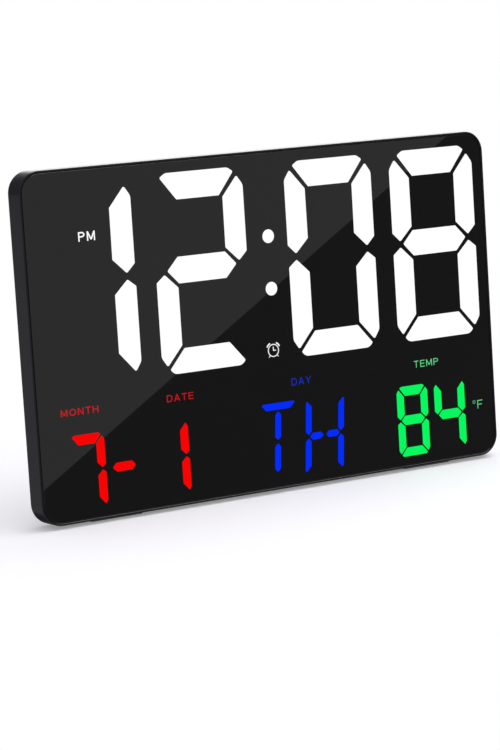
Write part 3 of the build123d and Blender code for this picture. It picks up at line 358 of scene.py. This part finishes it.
def roughness_along(shader, source, low, high):
    """Runs the roughness from low to high along a noise."""
    spread = shader.nodes.new("ShaderNodeMapRange")
    spread.inputs["From Min"].default_value = GLOSS_SPAN[0]
    spread.inputs["From Max"].default_value = GLOSS_SPAN[1]
    spread.inputs["To Min"].default_value = low
    spread.inputs["To Max"].default_value = high
    shader.links.new(source, spread.inputs["Value"])
    shader.links.new(spread.outputs["Result"], shader.bsdf.inputs["Roughness"])


def add_bump(shader, height, strength, depth):
    bump = shader.nodes.new("ShaderNodeBump")
    bump.inputs["Strength"].default_value = strength
    bump.inputs["Distance"].default_value = depth * MM
    shader.links.new(height, bump.inputs["Height"])
    shader.links.new(bump.outputs["Normal"], shader.bsdf.inputs["Normal"])


def shade(color, change):
    return tuple(min(1.0, channel * change) for channel in color)


def shades(color, changes):
    return [shade(color, change) for change in changes]


def moulded_plastic(name, color, roughness, grains, depth, specular):
    """Moulded plastic with a fine spark-eroded grain and slow changes of tone and gloss."""
    shader = new_shader(name)
    slow = object_noise(shader, PLASTIC_TONE_SCALE, SOFT_NOISE_DETAIL)
    grain = object_noise(shader, grains, PLASTIC_GRAIN_DETAIL, PLASTIC_GRAIN_ROUGHNESS)
    color_along(shader, slow, *shades(color, PLASTIC_TONE_SHARES), "Base Color")
    roughness_along(shader, grain, roughness - PLASTIC_GLOSS_CHANGE, roughness + PLASTIC_GLOSS_CHANGE)
    shader.bsdf.inputs["Specular IOR Level"].default_value = specular
    add_bump(shader, grain, PLASTIC_BUMP, depth)
    return shader.material


def gloss_panel(name, color):
    """Polished acrylic: deep black with the faintest ripple of haze in its gloss."""
    shader = new_shader(name)
    haze = object_noise(shader, PANEL_HAZE_SCALE)
    tone = object_noise(shader, PANEL_TONE_SCALE, SOFT_NOISE_DETAIL)
    color_along(shader, tone, *shades(color, PANEL_TONE_SHARES), "Base Color")
    roughness_along(shader, haze, *PANEL_ROUGHNESS)
    shader.bsdf.inputs["IOR"].default_value = ACRYLIC_IOR
    return shader.material


def lit_lens(name, color, strength):
    """A diffusing lens lit from behind: even light with a very fine milky texture."""
    shader = new_shader(name)
    milk = object_noise(shader, LENS_MILK_SCALE, SOFT_NOISE_DETAIL)
    shader.bsdf.inputs["Base Color"].default_value = (*shade(color, LENS_BODY_SHARE), 1.0)
    shader.bsdf.inputs["Roughness"].default_value = LENS_ROUGHNESS
    shader.bsdf.inputs["Specular IOR Level"].default_value = 0.0
    color_along(shader, milk, shade(color, LENS_MILK_SHARE), color, "Emission Color")
    shader.bsdf.inputs["Emission Strength"].default_value = strength
    return shader.material


def metal(name, color, roughness, scratches):
    """Plated metal with fine scratches that vary its gloss."""
    shader = new_shader(name)
    wear = object_noise(shader, scratches, METAL_SCRATCH_DETAIL, METAL_SCRATCH_ROUGHNESS)
    color_along(shader, wear, *shades(color, METAL_TONE_SHARES), "Base Color")
    roughness_along(shader, wear, *(roughness + change for change in METAL_GLOSS_CHANGES))
    shader.bsdf.inputs["Metallic"].default_value = 1.0
    add_bump(shader, wear, METAL_BUMP, METAL_SCRATCH_DEPTH)
    return shader.material


def circuit_board(name, mask, copper):
    """Green solder mask over copper runs that show as slightly lighter bands."""
    shader = new_shader(name)
    place = shader.nodes.new("ShaderNodeTexCoord")
    turn = shader.nodes.new("ShaderNodeMapping")
    turn.inputs["Rotation"].default_value = (math.radians(QUARTER_TURN), 0.0, 0.0)
    runs = shader.nodes.new("ShaderNodeTexBrick")
    runs.inputs["Scale"].default_value = BOARD_RUN_SCALE
    runs.inputs["Mortar Size"].default_value = BOARD_RUN_GAP
    runs.inputs["Color1"].default_value = (*mask, 1.0)
    runs.inputs["Color2"].default_value = (*shade(mask, BOARD_DARK_SHARE), 1.0)
    runs.inputs["Mortar"].default_value = (*copper, 1.0)
    shader.links.new(place.outputs["Object"], turn.inputs["Vector"])
    shader.links.new(turn.outputs["Vector"], runs.inputs["Vector"])
    shader.links.new(runs.outputs["Color"], shader.bsdf.inputs["Base Color"])
    roughness_along(shader, object_noise(shader, BOARD_GLOSS_SCALE), *BOARD_ROUGHNESS)
    return shader.material


def print_ink(name, color):
    """Screen-printed ink with a slightly uneven coat."""
    shader = new_shader(name)
    coat = object_noise(shader, INK_COAT_SCALE, SOFT_NOISE_DETAIL)
    color_along(shader, coat, shade(color, INK_COAT_SHARE), color, "Base Color")
    shader.bsdf.inputs["Roughness"].default_value = INK_ROUGHNESS
    return shader.material


def make_materials():
    materials = {key: moulded_plastic(*plastic) for key, plastic in PLASTICS.items()}
    materials.update({key: lit_lens(*lens) for key, lens in LENSES.items()})
    materials.update({key: metal(*plating) for key, plating in METALS.items()})
    materials["panel"] = gloss_panel("panel_black_gloss", PANEL_COLOR)
    materials["board"] = circuit_board("circuit_board_green", BOARD_MASK, BOARD_COPPER)
    materials["ink"] = print_ink("legend_grey_ink", INK_COLOR)
    return materials


MATERIALS = make_materials()


def dress_nodes():
    for node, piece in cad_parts.items():
        piece.data.materials.clear()
        piece.data.materials.append(MATERIALS[NODE_MATERIALS[node]])


# Flat shapes for prints, drawn in x and z
def arc_points(x, z, wide, tall, start, end, count):
    """Points along an elliptical arc, angles in degrees."""
    turns = [math.radians(start + (end - start) * i / (count - 1)) for i in range(count)]
    return [(x + wide * math.cos(turn), z + tall * math.sin(turn)) for turn in turns]


def band_points(x, z, wide, tall, stroke, start, end, count=BAND_POINTS):
    """A loop around a bent band: its outer arc and its inner arc back."""
    outer = arc_points(x, z, wide, tall, start, end, count)
    inner = arc_points(x, z, wide - stroke, tall - stroke, end, start, count)
    return outer + inner


def ring_points(x, z, wide, tall, stroke, count=RING_POINTS):
    """The outer and the inner loop of a ring."""
    outer = arc_points(x, z, wide, tall, 0.0, FULL_TURN, count)[:-1]
    inner = arc_points(x, z, wide - stroke, tall - stroke, 0.0, FULL_TURN, count)[:-1]
    return outer, inner


def leaning_bar(low_x, high_x, low, high, stroke):
    half = stroke / 2
    return [(low_x - half, low), (low_x + half, low), (high_x + half, high), (high_x - half, high)]


def level_bar(left, right, middle, stroke):
    half = stroke / 2
    return [(left, middle - half), (right, middle - half), (right, middle + half), (left, middle + half)]


def plate_faces(build, loop, hole):
    """The flat faces of one plate; a hole has as many points as the loop around it."""
    outer = [build.verts.new((x, z, 0.0)) for x, z in loop]
    if not hole:
        return [build.faces.new(outer)]
    inner = [build.verts.new((x, z, 0.0)) for x, z in hole]
    count = len(outer)
    return [
        build.faces.new((outer[i], outer[(i + 1) % count], inner[(i + 1) % count], inner[i]))
        for i in range(count)
    ]


def flat_shapes_mesh(name, loops, holes):
    """A mesh of plates, one thick, from loops of x and z and a hole or none for each."""
    build = bmesh.new()
    for loop, hole in zip(loops, holes):
        grown = bmesh.ops.extrude_face_region(build, geom=plate_faces(build, loop, hole))
        moved = [part for part in grown["geom"] if isinstance(part, bmesh.types.BMVert)]
        bmesh.ops.translate(build, verts=moved, vec=(0.0, 0.0, 1.0))
    bmesh.ops.recalc_face_normals(build, faces=build.faces)
    mesh = bpy.data.meshes.new(name)
    build.to_mesh(mesh)
    build.free()
    return mesh


# Plain stroke letters, one high
Pen = namedtuple("Pen", "stroke slant wide left middle right bottom top bowl")


def letter_pen(letter, stroke):
    """The stroke and the guide lines of a letter."""
    wide = LETTER_WIDTH_SHARES[letter]
    half = stroke / 2
    return Pen(
        stroke=stroke,
        slant=stroke * SLANT_STROKE_SHARE,
        wide=wide,
        left=half,
        middle=wide / 2,
        right=wide - half,
        bottom=half,
        top=1 - half,
        bowl=wide * BOWL_SHARE,
    )


def post(pen, x, high=1.0):
    return leaning_bar(x, x, 0.0, high, pen.stroke)


def slanted(pen, low_x, high_x, low=0.0):
    return leaning_bar(low_x, high_x, low, 1.0, pen.slant)


def crossbar(pen, right, height, left=0.0):
    return level_bar(left, right, height, pen.stroke)


def bowl_band(pen, low):
    """The bent end of a bowl between a low height and the top."""
    middle = (1 + low) / 2
    ends = (-QUARTER_TURN, QUARTER_TURN)
    return band_points(pen.bowl, middle, pen.wide - pen.bowl, 1 - middle, pen.stroke, *ends)


def letter_m(pen):
    dips = [slanted(pen, pen.middle, side, M_DIP_SHARE) for side in (pen.left, pen.right)]
    return [post(pen, pen.left), post(pen, pen.right), *dips]


def letter_n(pen):
    return [post(pen, pen.left), post(pen, pen.right), slanted(pen, pen.right, pen.left)]


def letter_t(pen):
    return [crossbar(pen, pen.wide, pen.top), post(pen, pen.middle)]


def letter_h(pen):
    return [post(pen, pen.left), post(pen, pen.right), crossbar(pen, pen.wide, MIDDLE_SHARE)]


def letter_e(pen):
    reach, height = E_BAR_SHARES
    bars = [crossbar(pen, pen.wide * reach, height), crossbar(pen, pen.wide, pen.bottom)]
    return [post(pen, pen.left), crossbar(pen, pen.wide, pen.top), *bars]


def letter_f(pen):
    reach, height = F_BAR_SHARES
    return [post(pen, pen.left), crossbar(pen, pen.wide, pen.top), crossbar(pen, pen.wide * reach, height)]


def letter_a(pen):
    left, right = (pen.wide * share for share in A_BAR_SIDE_SHARES)
    legs = [slanted(pen, side, pen.middle) for side in (pen.left, pen.right)]
    return [*legs, crossbar(pen, right, A_BAR_HEIGHT_SHARE, left)]


def letter_y(pen):
    arms = [slanted(pen, pen.middle, side, Y_FORK_SHARE) for side in (pen.left, pen.right)]
    return [*arms, post(pen, pen.middle, Y_STEM_SHARE)]


def letter_d(pen):
    bars = [crossbar(pen, pen.bowl, height) for height in (pen.top, pen.bottom)]
    return [post(pen, pen.left), *bars, bowl_band(pen, 0.0)]


def letter_p(pen):
    bars = [crossbar(pen, pen.bowl, height) for height in (pen.top, P_BOWL_LOW_SHARE + pen.bottom)]
    return [post(pen, pen.left), *bars, bowl_band(pen, P_BOWL_LOW_SHARE)]


def letter_o(pen):
    return ring_points(pen.middle, MIDDLE_SHARE, pen.middle, MIDDLE_SHARE, pen.stroke)


def degree_ring(pen):
    stroke = pen.stroke * RING_STROKE_SHARE
    return ring_points(pen.middle, DEGREE_HEIGHT_SHARE, pen.middle, DEGREE_RADIUS_SHARE, stroke)


RING_LETTERS = {"O": letter_o, "°": degree_ring}
BAR_LETTERS = {
    "M": letter_m, "N": letter_n, "T": letter_t, "H": letter_h, "E": letter_e,
    "F": letter_f, "A": letter_a, "Y": letter_y, "D": letter_d, "P": letter_p,
}


def letter_shapes(letter, stroke):
    """The loops of a letter, and a hole or none for each."""
    pen = letter_pen(letter, stroke)
    if letter in RING_LETTERS:
        outer, inner = RING_LETTERS[letter](pen)
        return [outer], [inner]
    loops = BAR_LETTERS[letter](pen)
    return loops, [None] * len(loops)


def word_shapes(words, stroke):
    loops, holes, reach = [], [], 0.0
    for letter in words:
        outlines, gaps = letter_shapes(letter, stroke)
        for outline, gap in zip(outlines, gaps):
            loops.append([(x + reach, z) for x, z in outline])
            holes.append([(x + reach, z) for x, z in gap] if gap else None)
        reach += LETTER_WIDTH_SHARES[letter] + LETTER_SPACE_SHARE
    return loops, holes


# Printed and lit legends
def add_piece(name, mesh, material):
    piece = bpy.data.objects.new(name, mesh)
    bpy.context.scene.collection.objects.link(piece)
    piece.data.materials.clear()
    piece.data.materials.append(material)
    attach(piece, "clock")


def spans(mesh):
    """The lowest and the highest value of a mesh along each axis."""
    return [(min(values), max(values)) for values in zip(*(vertex.co for vertex in mesh.vertices))]


def fit_mesh(mesh, left, right, low, high):
    """Fits a flat mesh to a box in the clock's x and z, and makes it one thick."""
    (min_x, max_x), (min_y, max_y), (min_z, max_z) = spans(mesh)
    for vertex in mesh.vertices:
        x, y, z = vertex.co
        vertex.co = (
            left + (x - min_x) / (max_x - min_x) * (right - left),
            low + (y - min_y) / (max_y - min_y) * (high - low),
            (z - min_z) / (max_z - min_z),
        )
    return mesh


def stand_on_front(mesh):
    for vertex in mesh.vertices:
        x, z, out = vertex.co
        vertex.co = clock_point(x, PANEL_FACE + PRINT_SINK - out * (PRINT_RAISE + PRINT_SINK), z)
    return mesh


def stand_on_rear(mesh):
    for vertex in mesh.vertices:
        x, z, out = vertex.co
        vertex.co = clock_point(-x, REAR_FACE - PRINT_SINK + out * (PRINT_RAISE + PRINT_SINK), z)
    return mesh


def front_legend(name, words, box, stroke, material, slot):
    mesh = fit_mesh(flat_shapes_mesh(name, *word_shapes(words, stroke)), *box)
    add_piece(name, stand_on_front(mesh), MATERIALS[material])


def font_mesh(words):
    """The words in the plain built-in font as a flat mesh with thickness, lying in x and y."""
    curve = bpy.data.curves.new("legend_curve", "FONT")
    curve.body = words
    curve.space_character = REAR_SPACING_SHARE
    curve.extrude = LETTER_BLANK_DEPTH
    holder = bpy.data.objects.new("legend_holder", curve)
    bpy.context.scene.collection.objects.link(holder)
    bpy.context.view_layer.update()
    ready = holder.evaluated_get(bpy.context.evaluated_depsgraph_get())
    mesh = bpy.data.meshes.new_from_object(ready)
    bpy.data.objects.remove(holder)
    bpy.data.curves.remove(curve)
    return mesh


def rear_legend(name, words, middle, low, height):
    mesh = font_mesh(words)
    (min_x, max_x), (min_y, max_y), _ = spans(mesh)
    half = height * (max_x - min_x) / (max_y - min_y) / 2
    mesh = fit_mesh(mesh, -middle - half, -middle + half, low, low + height)
    add_piece(name, stand_on_rear(mesh), MATERIALS["ink"])


def sign_foot(x, z, side):
    """A short slanting foot under the sign's dial, on one side."""
    turn = math.radians(side * SIGN_FOOT_TURN)
    near, far = SIGN_RADIUS - SIGN_STROKE / 2, SIGN_RADIUS + SIGN_FOOT_REACH
    low_x, high_x = (x + reach * math.sin(turn) for reach in (far, near))
    low, high = (z - reach * math.cos(turn) for reach in (far, near))
    return leaning_bar(low_x, high_x, low, high, SIGN_STROKE)


def sign_bell(x, z, side):
    """A bent bell over the sign's dial, on one side."""
    reach = SIGN_RADIUS + SIGN_BELL_GAP + SIGN_BELL_STROKE
    turn = QUARTER_TURN - side * SIGN_BELL_TURN
    ends = (turn - SIGN_BELL_SPREAD, turn + SIGN_BELL_SPREAD)
    return band_points(x, z, reach, reach, SIGN_BELL_STROKE, *ends, SIGN_BELL_POINTS)


def alarm_sign():
    """The lit outline of a bell clock: dial ring, two hands, two bells and two feet."""
    x, z = SIGN_PLACE
    up, across = (SIGN_RADIUS * share for share in SIGN_HAND_SHARES)
    ring, inside = ring_points(x, z, SIGN_RADIUS, SIGN_RADIUS, SIGN_STROKE, SIGN_RING_POINTS)
    loops = [ring]
    loops.append(leaning_bar(x, x, z - SIGN_STROKE / 2, z + up, SIGN_STROKE))
    loops.append(level_bar(x, x + across, z, SIGN_STROKE))
    for side in (-1, 1):
        loops.append(sign_bell(x, z, side))
        loops.append(sign_foot(x, z, side))
    holes = [inside] + [None] * (len(loops) - 1)
    mesh = flat_shapes_mesh("alarm_sign", loops, holes)
    add_piece("alarm_sign", stand_on_front(mesh), MATERIALS["white"])


def add_legends():
    for name, legend in FRONT_LEGENDS.items():
        front_legend(name, *legend)
    alarm_sign()
    row = BUTTON_ROW - BUTTON_LEGEND_DROP
    for index, words in enumerate(BUTTON_WORDS):
        middle = (index - len(BUTTON_WORDS) // 2) * BUTTON_PITCH
        rear_legend(f"{words.lower()}_button_legend", words, middle, row, BUTTON_LEGEND_HEIGHT)
    rear_legend("power_legend", POWER_WORDS, *POWER_LEGEND_PLACE, POWER_LEGEND_HEIGHT)


# Stage
def empty_material(name):
    material = bpy.data.materials.new(name)
    material.use_nodes = True
    material.node_tree.nodes.clear()
    return material, material.node_tree.nodes, material.node_tree.links


def stage_plane(name, corners, material):
    mesh = bpy.data.meshes.new(name)
    mesh.from_pydata([tuple(corner) for corner in corners], [], [tuple(range(len(corners)))])
    plane = bpy.data.objects.new(name, mesh)
    bpy.context.scene.collection.objects.link(plane)
    plane.data.materials.append(material)
    return plane


def math_node(nodes, links, operation, first, second):
    node = nodes.new("ShaderNodeMath")
    node.operation = operation
    links.new(first, node.inputs[0])
    links.new(second, node.inputs[1])
    return node.outputs[0]


def seen_directly(nodes, links):
    """1 for camera, glossy and transmission rays, which see the plain pale set itself."""
    rays = nodes.new("ShaderNodeLightPath").outputs
    outward = math_node(nodes, links, "MAXIMUM", rays["Is Camera Ray"], rays["Is Glossy Ray"])
    return math_node(nodes, links, "MAXIMUM", outward, rays["Is Transmission Ray"])


def white_glow(nodes, level=1.0):
    glow = nodes.new("ShaderNodeEmission")
    glow.inputs["Color"].default_value = (*WHITE, 1.0)
    glow.inputs["Strength"].default_value = level
    return glow


def floor_paint(nodes, links, seen):
    """Pale paint that shows shadows, with a little brightness of its own where it is seen."""
    paint = nodes.new("ShaderNodeBsdfDiffuse")
    paint.inputs["Color"].default_value = (*FLOOR_COLOR, 1.0)
    lift = white_glow(nodes)
    strength = nodes.new("ShaderNodeMath")
    strength.operation = "MULTIPLY"
    strength.inputs[1].default_value = FLOOR_LIFT
    links.new(seen, strength.inputs[0])
    links.new(strength.outputs[0], lift.inputs["Strength"])
    both = nodes.new("ShaderNodeAddShader")
    links.new(paint.outputs[0], both.inputs[0])
    links.new(lift.outputs[0], both.inputs[1])
    return both.outputs[0]


def floor_fade(nodes, links):
    """0 near the clock and 1 further away."""
    place = nodes.new("ShaderNodeNewGeometry")
    away = nodes.new("ShaderNodeVectorMath")
    away.operation = "LENGTH"
    links.new(place.outputs["Position"], away.inputs[0])
    fade = nodes.new("ShaderNodeMapRange")
    fade.interpolation_type = "SMOOTHSTEP"
    fade.inputs["From Min"].default_value = FLOOR_FADE[0]
    fade.inputs["From Max"].default_value = FLOOR_FADE[1]
    links.new(away.outputs["Value"], fade.inputs["Value"])
    return fade.outputs["Result"]


def floor_material():
    material, nodes, links = empty_material("floor_white")
    seen = seen_directly(nodes, links)
    mix = nodes.new("ShaderNodeMixShader")
    links.new(math_node(nodes, links, "MULTIPLY", floor_fade(nodes, links), seen), mix.inputs[0])
    links.new(floor_paint(nodes, links, seen), mix.inputs[1])
    links.new(white_glow(nodes).outputs[0], mix.inputs[2])
    out = nodes.new("ShaderNodeOutputMaterial")
    links.new(mix.outputs[0], out.inputs["Surface"])
    return material


def add_floor():
    """A pale floor that keeps the clock's shadow and runs out into plain white further away."""
    half = FLOOR_HALF
    corners = [(-half, -half, 0), (half, -half, 0), (half, half, 0), (-half, half, 0)]
    floor = stage_plane("floor", corners, floor_material())
    floor.visible_glossy = False


def add_card(name, corners, level):
    """A glowing card that only reflections show."""
    material, nodes, links = empty_material(name)
    out = nodes.new("ShaderNodeOutputMaterial")
    links.new(white_glow(nodes, level).outputs[0], out.inputs["Surface"])
    card = stage_plane(name, corners, material)
    card.visible_camera = False
    card.visible_diffuse = False
    card.visible_transmission = False
    card.visible_volume_scatter = False
    card.visible_shadow = False


def reflected_ray(share_x, share_z):
    """Where the camera's line of sight meets the panel, and the way it goes on from there."""
    spot = clock_point((share_x - FACE_MIDDLE_SHARES[0]) * FACE_WIDTH, PANEL_FACE, share_z * FACE_HEIGHT)
    normal = (CLOCK.to_3x3() @ Vector((0.0, -1.0, 0.0))).normalized()
    ray = (spot - Vector(CAMERA_PLACE)).normalized()
    mirrored = ray - 2 * ray.dot(normal) * normal
    return spot, mirrored


def on_card(share_x, share_z):
    """The point of the cards' plane that the panel mirrors at a spot given in shares of the face."""
    middle, facing = reflected_ray(*FACE_MIDDLE_SHARES)
    start, ray = reflected_ray(share_x, share_z)
    reach = (middle + facing * CARD_DISTANCE - start).dot(facing) / ray.dot(facing)
    return start + ray * reach


def add_front_cards():
    """A pale card and a dark card off the set, whose shared edge crosses the panel as a slanting line."""
    low, high = (on_card(*shares) for shares in CARD_EDGE_SHARES)
    along = (high - low).normalized()
    pale_side = on_card(*PALE_SIDE_SHARES) - low
    pale_side = (pale_side - pale_side.dot(along) * along).normalized()
    start, end = low - along * CARD_REACH, high + along * CARD_REACH
    for name, side, level in (("pale_card", 1, LIGHT_CARD_LEVEL), ("dark_card", -1, DARK_CARD_LEVEL)):
        away = pale_side * side * CARD_REACH
        add_card(name, [start, end, end + away, start + away], level)


def add_back_cards():
    """A bright card for the upper edge, grey ones for the side wall, a dark one for the outline."""
    far = BACK_CARD_DISTANCE
    for name, (left, right, low, high, level) in BACK_CARDS.items():
        add_card(name, [(left, far, low), (right, far, low), (right, far, high), (left, far, high)], level)


def add_level_cards():
    """A strip overhead for the upper edges and the pale table for the lower ones."""
    for name, (left, right, front, back, height, level) in LEVEL_CARDS.items():
        outline = [(left, front), (right, front), (right, back), (left, back)]
        add_card(name, [(x, y, height) for x, y in outline], level)


def add_softbox():
    light = bpy.data.lights.new("softbox", "AREA")
    light.shape = "DISK"
    light.size = SOFTBOX_SIZE
    light.energy = SOFTBOX_POWER
    softbox = bpy.data.objects.new("softbox", light)
    softbox.location = SOFTBOX_PLACE
    aim = Vector(SOFTBOX_AIM) - Vector(SOFTBOX_PLACE)
    softbox.rotation_euler = aim.to_track_quat("-Z", "Y").to_euler()
    softbox.visible_glossy = False
    bpy.context.scene.collection.objects.link(softbox)


def add_world():
    """Soft light from all around, which is plain white where it is seen."""
    world = bpy.data.worlds.new("studio")
    bpy.context.scene.world = world
    world.use_nodes = True
    nodes, links = world.node_tree.nodes, world.node_tree.links
    nodes.clear()
    spread = nodes.new("ShaderNodeMapRange")
    spread.inputs["To Min"].default_value = WORLD_LIGHT
    spread.inputs["To Max"].default_value = WORLD_SEEN
    sky = nodes.new("ShaderNodeBackground")
    sky.inputs["Color"].default_value = (*WHITE, 1.0)
    out = nodes.new("ShaderNodeOutputWorld")
    links.new(seen_directly(nodes, links), spread.inputs["Value"])
    links.new(spread.outputs["Result"], sky.inputs["Strength"])
    links.new(sky.outputs[0], out.inputs["Surface"])


def add_camera():
    data = bpy.data.cameras.new("camera")
    data.sensor_width = CAMERA_SENSOR
    data.lens = CAMERA_LENS
    data.clip_end = CAMERA_CLIP_END
    camera = bpy.data.objects.new("camera", data)
    camera.location = CAMERA_PLACE
    camera.rotation_euler = (math.radians(QUARTER_TURN) - CAMERA_ELEVATION, 0.0, CAMERA_AZIMUTH)
    bpy.context.scene.collection.objects.link(camera)
    bpy.context.scene.camera = camera


dress_nodes()
add_legends()
add_floor()
add_front_cards()
add_back_cards()
add_level_cards()
add_softbox()
add_world()
add_camera()

bpy.context.scene.view_settings.view_transform = "Standard"
